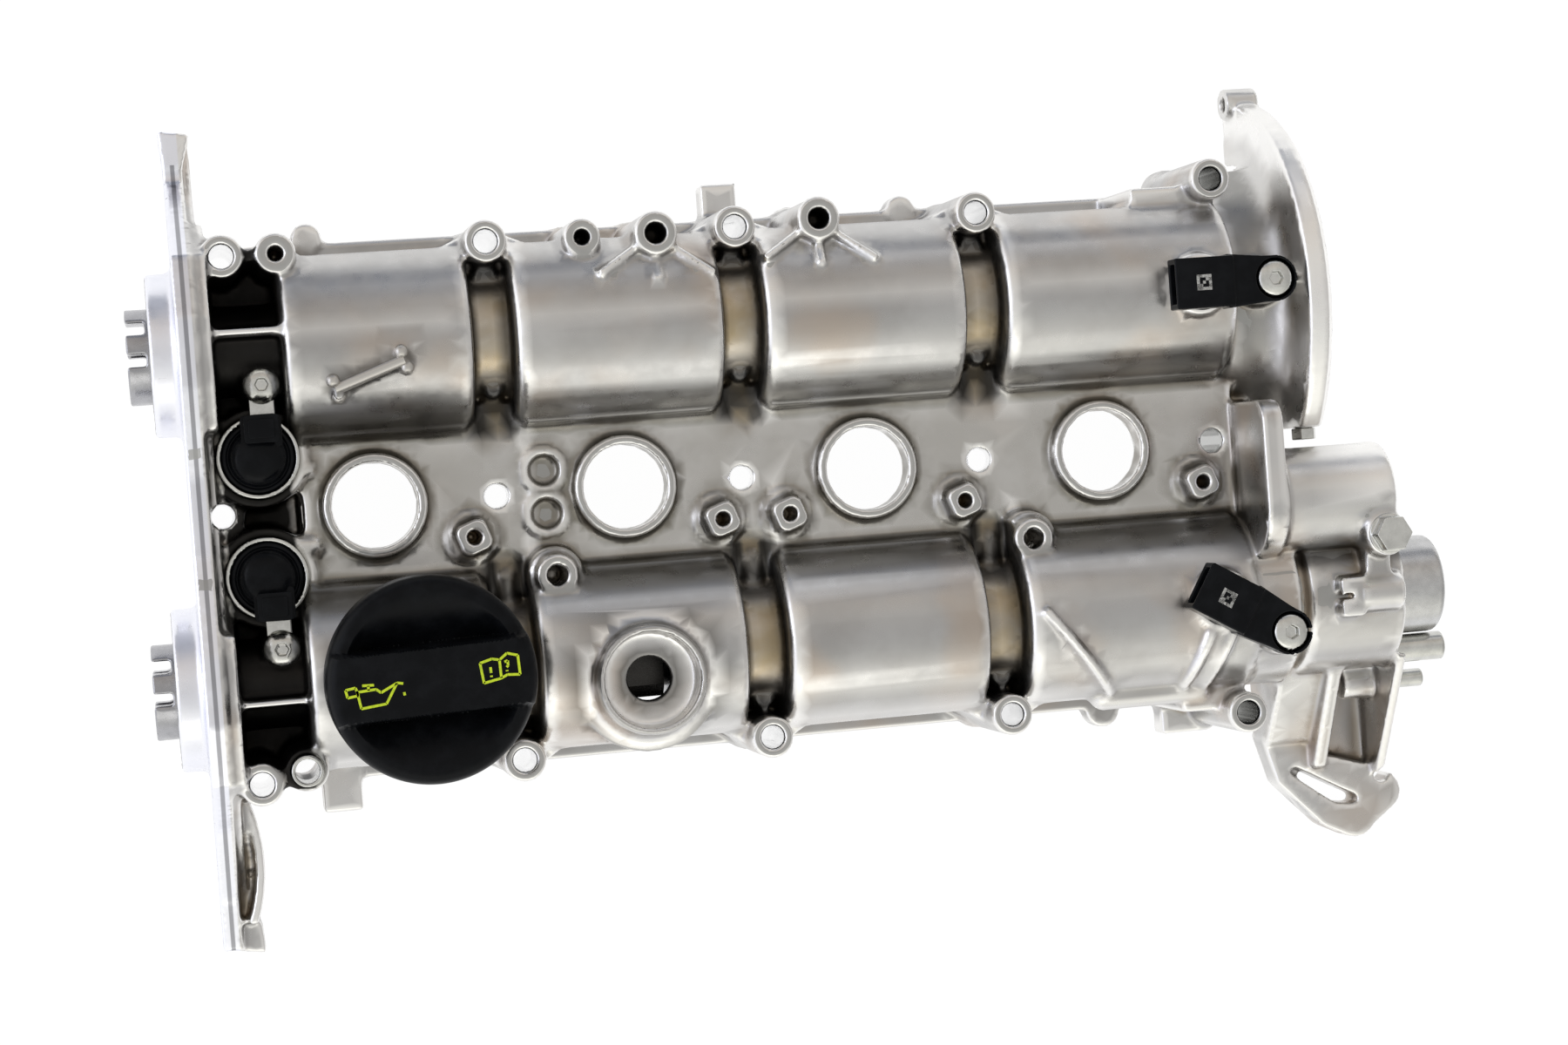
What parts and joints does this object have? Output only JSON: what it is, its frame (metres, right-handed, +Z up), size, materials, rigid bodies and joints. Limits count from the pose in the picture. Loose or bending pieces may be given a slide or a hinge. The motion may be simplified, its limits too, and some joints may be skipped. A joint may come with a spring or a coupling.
{
  "type": "engine valve cover",
  "caption": "Cast aluminium valve cover of a twin camshaft engine, with both camshafts, front bearings and seals, oil filler cap, control valves and camshaft sensors.",
  "frame": {"origin": "middle of the four inner edge bolts, on the joint face that meets the cylinder head", "axes": "+X along the camshafts from the timing end to the rear, +Y across towards the exhaust camshaft, +Z up out of the engine"},
  "size_m": [0.4442, 0.2735, 0.092],
  "materials": {
    "cast_aluminium": "satin cast aluminium, warm tinted, lighter on machined faces",
    "seal_rubber": "black moulded rubber",
    "bearing_steel": "ground bearing steel",
    "plated_steel": "zinc plated steel, bright",
    "black_plastic": "black moulded plastic, slightly glossy",
    "camshaft_steel": "ground and machined steel"
  },
  "bodies": {
    "root": {"camshaft_housing": "cast_aluminium", "exhaust_front_seal": "seal_rubber", "intake_front_seal": "seal_rubber", "exhaust_bearing_outer_ring": "bearing_steel", "intake_bearing_outer_ring": "bearing_steel", "exhaust_bearing_balls": "bearing_steel", "intake_bearing_balls": "bearing_steel", "exhaust_valve_can": "plated_steel", "intake_valve_can": "plated_steel", "exhaust_valve_head": "black_plastic", "intake_valve_head": "black_plastic", "exhaust_valve_bracket": "plated_steel", "intake_valve_bracket": "plated_steel", "exhaust_valve_bolt": "plated_steel", "intake_valve_bolt": "plated_steel", "exhaust_sensor": "black_plastic", "intake_sensor": "black_plastic", "exhaust_sensor_seal": "seal_rubber", "intake_sensor_seal": "seal_rubber", "exhaust_sensor_bolt": "plated_steel", "intake_sensor_bolt": "plated_steel", "dowel_sleeve": "plated_steel", "rear_end_cap": "cast_aluminium", "hex_plug": "plated_steel", "return_pipe": "plated_steel", "locating_pin": "plated_steel", "bell_bolt": "plated_steel"},
    "exhaust_camshaft": {"exhaust_cam_tube": "camshaft_steel", "exhaust_cam_lobes": "camshaft_steel", "exhaust_trigger_wheel": "camshaft_steel", "exhaust_shaft_end": "camshaft_steel", "exhaust_bearing_inner_ring": "bearing_steel"},
    "intake_camshaft": {"intake_cam_tube": "camshaft_steel", "intake_cam_lobes": "camshaft_steel", "intake_trigger_wheel": "camshaft_steel", "intake_shaft_end": "camshaft_steel", "intake_bearing_inner_ring": "bearing_steel", "intake_pump_cam": "camshaft_steel"},
    "oil_cap": {"oil_cap": "black_plastic", "oil_cap_seal": "seal_rubber"}
  },
  "joints": [
    {"name": "exhaust_cam_turn", "type": "hinge", "parent": "root", "child": "exhaust_camshaft", "pos_m": [0, 0.055, 0.028], "axis": [1, 0, 0], "continuous": true},
    {"name": "intake_cam_turn", "type": "hinge", "parent": "root", "child": "intake_camshaft", "pos_m": [0, -0.0535, 0.028], "axis": [1, 0, 0], "continuous": true},
    {"name": "oil_cap_turn", "type": "hinge", "parent": "root", "child": "oil_cap", "pos_m": [-0.1125, -0.0535, 0.08], "axis": [0, 0, 1], "range_deg": [0, 90]}
  ]
}
